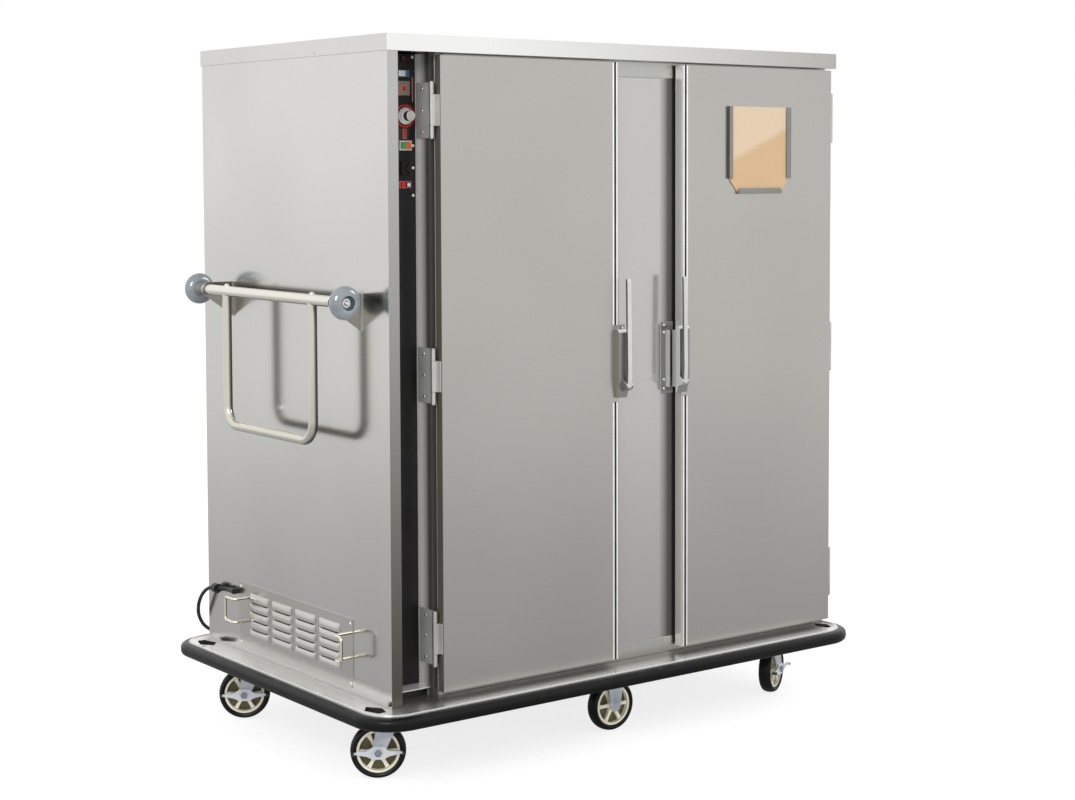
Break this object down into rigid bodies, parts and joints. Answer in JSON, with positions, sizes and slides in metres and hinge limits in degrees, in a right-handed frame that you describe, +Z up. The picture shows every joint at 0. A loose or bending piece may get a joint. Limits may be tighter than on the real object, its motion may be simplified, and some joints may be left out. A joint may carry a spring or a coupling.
{
  "type": "heated banquet cabinet",
  "caption": "Upright stainless holding cabinet on casters with a pair of insulated doors, side control chase, push bar and wrap-round bumper.",
  "frame": {"origin": "on the floor under the middle of the whole cabinet, with the power cord left out", "axes": "+Z up, the doors face -Y, the push bar is on the -X side"},
  "size_m": [1.487, 1.1751, 1.68],
  "materials": {
    "steel": "satin stainless sheet",
    "door_steel": "satin stainless sheet",
    "bright_steel": "polished stainless",
    "zinc": "bright zinc plate",
    "bumper_black": "matt vinyl",
    "bumper_grey": "matt grey rubber",
    "seal_rubber": "matt rubber",
    "tyre": "dark tyre on a cream hub",
    "black_panel": "satin black",
    "panel_plastic": "coloured lenses and bezels",
    "knob_plastic": "white skirt with silver cap",
    "switch_plastic": "orange and green rocker",
    "galvanised": "galvanised sheet",
    "element": "dark heat-stained sheath",
    "card": "tan coated card",
    "cord_rubber": "black rubber"
  },
  "bodies": {
    "cabinet": {"top_cap": "steel", "side_panel": "steel", "left_wall": "steel", "right_wall": "steel", "back_wall": "steel", "ceiling": "steel", "cabinet_floor": "steel", "mullion": "bright_steel", "base_deck": "steel", "bumper_rail": "galvanised", "bumper_strip": "bumper_black", "control_panel": "black_panel", "control_fittings": "panel_plastic", "vent_panel": "steel", "module_handles": "bright_steel", "blower_housing": "galvanised", "heating_element": "element", "wire_shelves": "bright_steel", "shelf_posts": "steel", "push_bar": "bright_steel", "push_bumpers": "bumper_grey", "push_loop": "bright_steel", "latch_strikes": "bright_steel", "frame_hinge_leaves": "bright_steel", "caster_mounts": "zinc", "cord_gland": "cord_rubber", "power_cord": "cord_rubber", "cord_coil": "cord_rubber", "plug": "cord_rubber"},
    "left_door": {"left_door_skin": "door_steel", "left_door_liner": "steel", "left_door_seal": "seal_rubber", "left_latch_body": "bright_steel", "left_hinge_leaves": "bright_steel"},
    "right_door": {"right_door_skin": "door_steel", "right_door_liner": "steel", "right_door_seal": "seal_rubber", "right_latch_body": "bright_steel", "right_hinge_leaves": "bright_steel", "card_holder": "bright_steel", "menu_card": "card"},
    "left_lever": {"left_latch_lever": "bright_steel"},
    "right_lever": {"right_latch_lever": "bright_steel"},
    "knob": {"thermostat_knob": "knob_plastic"},
    "switch": {"power_switch": "switch_plastic"},
    "blower": {"blower_wheel": "galvanised"},
    "swivel_front_left": {"fork_front_left": "zinc"},
    "roller_front_left": {"wheel_front_left": "tyre"},
    "pedal_front_left": {"brake_front_left": "zinc"},
    "swivel_front_right": {"fork_front_right": "zinc"},
    "roller_front_right": {"wheel_front_right": "tyre"},
    "pedal_front_right": {"brake_front_right": "zinc"},
    "swivel_back_left": {"fork_back_left": "zinc"},
    "roller_back_left": {"wheel_back_left": "tyre"},
    "pedal_back_left": {"brake_back_left": "zinc"},
    "swivel_back_right": {"fork_back_right": "zinc"},
    "roller_back_right": {"wheel_back_right": "tyre"},
    "pedal_back_right": {"brake_back_right": "zinc"},
    "roller_front_middle": {"wheel_front_middle": "tyre"},
    "roller_back_middle": {"wheel_back_middle": "tyre"}
  },
  "joints": [
    {"name": "left_door_hinge", "type": "hinge", "parent": "cabinet", "child": "left_door", "pos_m": [-0.5105, -0.4065, 0.9205], "axis": [0, 0, -1], "range_deg": [0, 150]},
    {"name": "right_door_hinge", "type": "hinge", "parent": "cabinet", "child": "right_door", "pos_m": [0.7205, -0.4065, 0.9205], "axis": [0, 0, 1], "range_deg": [0, 180]},
    {"name": "left_latch_pull", "type": "hinge", "parent": "left_door", "child": "left_lever", "pos_m": [0.0175, -0.4445, 0.866], "axis": [1, 0, 0], "range_deg": [0, 20], "stiffness_Nm_per_rad": 1.2, "springref_deg": -5.73},
    {"name": "right_latch_pull", "type": "hinge", "parent": "right_door", "child": "right_lever", "pos_m": [0.1925, -0.4445, 0.866], "axis": [1, 0, 0], "range_deg": [0, 20], "stiffness_Nm_per_rad": 1.2, "springref_deg": -5.73},
    {"name": "thermostat_turn", "type": "hinge", "parent": "cabinet", "child": "knob", "pos_m": [-0.5325, -0.3325, 1.503], "axis": [0, 1, 0], "range_deg": [0, 300]},
    {"name": "power_rock", "type": "hinge", "parent": "cabinet", "child": "switch", "pos_m": [-0.5335, -0.3335, 1.437], "axis": [0, 0, 1], "range_deg": [0, 14]},
    {"name": "blower_spin", "type": "hinge", "parent": "cabinet", "child": "blower", "pos_m": [-0.5865, 0.1855, 0.256], "axis": [1, 0, 0], "continuous": true},
    {"name": "swivel_turn_front_left", "type": "hinge", "parent": "cabinet", "child": "swivel_front_left", "pos_m": [-0.5645, -0.3205, 0.14], "axis": [0, 0, 1], "continuous": true},
    {"name": "wheel_roll_front_left", "type": "hinge", "parent": "swivel_front_left", "child": "roller_front_left", "pos_m": [-0.59673, -0.30036, 0.0635], "axis": [-0.5299, -0.848, 0], "continuous": true},
    {"name": "brake_step_front_left", "type": "hinge", "parent": "swivel_front_left", "child": "pedal_front_left", "pos_m": [-0.59673, -0.30036, 0.0635], "axis": [-0.5299, -0.848, 0], "range_deg": [0, 18]},
    {"name": "swivel_turn_front_right", "type": "hinge", "parent": "cabinet", "child": "swivel_front_right", "pos_m": [0.5825, -0.3205, 0.14], "axis": [0, 0, 1], "continuous": true},
    {"name": "wheel_roll_front_right", "type": "hinge", "parent": "swivel_front_right", "child": "roller_front_right", "pos_m": [0.61574, -0.30208, 0.0635], "axis": [-0.4848, 0.8746, 0], "continuous": true},
    {"name": "brake_step_front_right", "type": "hinge", "parent": "swivel_front_right", "child": "pedal_front_right", "pos_m": [0.61574, -0.30208, 0.0635], "axis": [-0.4848, 0.8746, 0], "range_deg": [0, 18]},
    {"name": "swivel_turn_back_left", "type": "hinge", "parent": "cabinet", "child": "swivel_back_left", "pos_m": [-0.5645, 0.3205, 0.14], "axis": [0, 0, 1], "continuous": true},
    {"name": "wheel_roll_back_left", "type": "hinge", "parent": "swivel_back_left", "child": "roller_back_left", "pos_m": [-0.59673, 0.34064, 0.0635], "axis": [-0.5299, -0.848, 0], "continuous": true},
    {"name": "brake_step_back_left", "type": "hinge", "parent": "swivel_back_left", "child": "pedal_back_left", "pos_m": [-0.59673, 0.34064, 0.0635], "axis": [-0.5299, -0.848, 0], "range_deg": [0, 18]},
    {"name": "swivel_turn_back_right", "type": "hinge", "parent": "cabinet", "child": "swivel_back_right", "pos_m": [0.5825, 0.3205, 0.14], "axis": [0, 0, 1], "continuous": true},
    {"name": "wheel_roll_back_right", "type": "hinge", "parent": "swivel_back_right", "child": "roller_back_right", "pos_m": [0.61363, 0.3423, 0.0635], "axis": [-0.5736, 0.8192, 0], "continuous": true},
    {"name": "brake_step_back_right", "type": "hinge", "parent": "swivel_back_right", "child": "pedal_back_right", "pos_m": [0.61363, 0.3423, 0.0635], "axis": [-0.5736, 0.8192, 0], "range_deg": [0, 18]},
    {"name": "wheel_roll_front_middle", "type": "hinge", "parent": "cabinet", "child": "roller_front_middle", "pos_m": [0.059, -0.3205, 0.0635], "axis": [0, 1, 0], "continuous": true},
    {"name": "wheel_roll_back_middle", "type": "hinge", "parent": "cabinet", "child": "roller_back_middle", "pos_m": [0.059, 0.3205, 0.0635], "axis": [0, 1, 0], "continuous": true}
  ]
}
